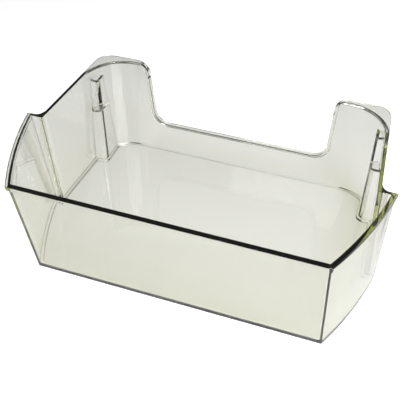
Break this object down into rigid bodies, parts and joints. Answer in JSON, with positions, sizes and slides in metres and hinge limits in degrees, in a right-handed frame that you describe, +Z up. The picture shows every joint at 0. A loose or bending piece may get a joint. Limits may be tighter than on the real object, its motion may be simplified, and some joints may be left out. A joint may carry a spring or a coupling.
{
  "type": "refrigerator door bottle holder",
  "caption": "Clear open-topped door bin for bottles: a wide basket with curved sides, a narrower section behind it with a cut-out in its back wall, and hook sockets at the rear corners.",
  "frame": {"origin": "middle of the underside of the bin's overall box", "axes": "+X along the width to the right as seen from the room, +Y from the room towards the door, +Z up"},
  "size_m": [0.3018, 0.2006, 0.1065],
  "materials": {
    "clear_plastic": "clear moulded plastic with polished faces, slightly tinted"
  },
  "bodies": {
    "root": {"bottle_holder": "clear_plastic"}
  },
  "joints": []
}
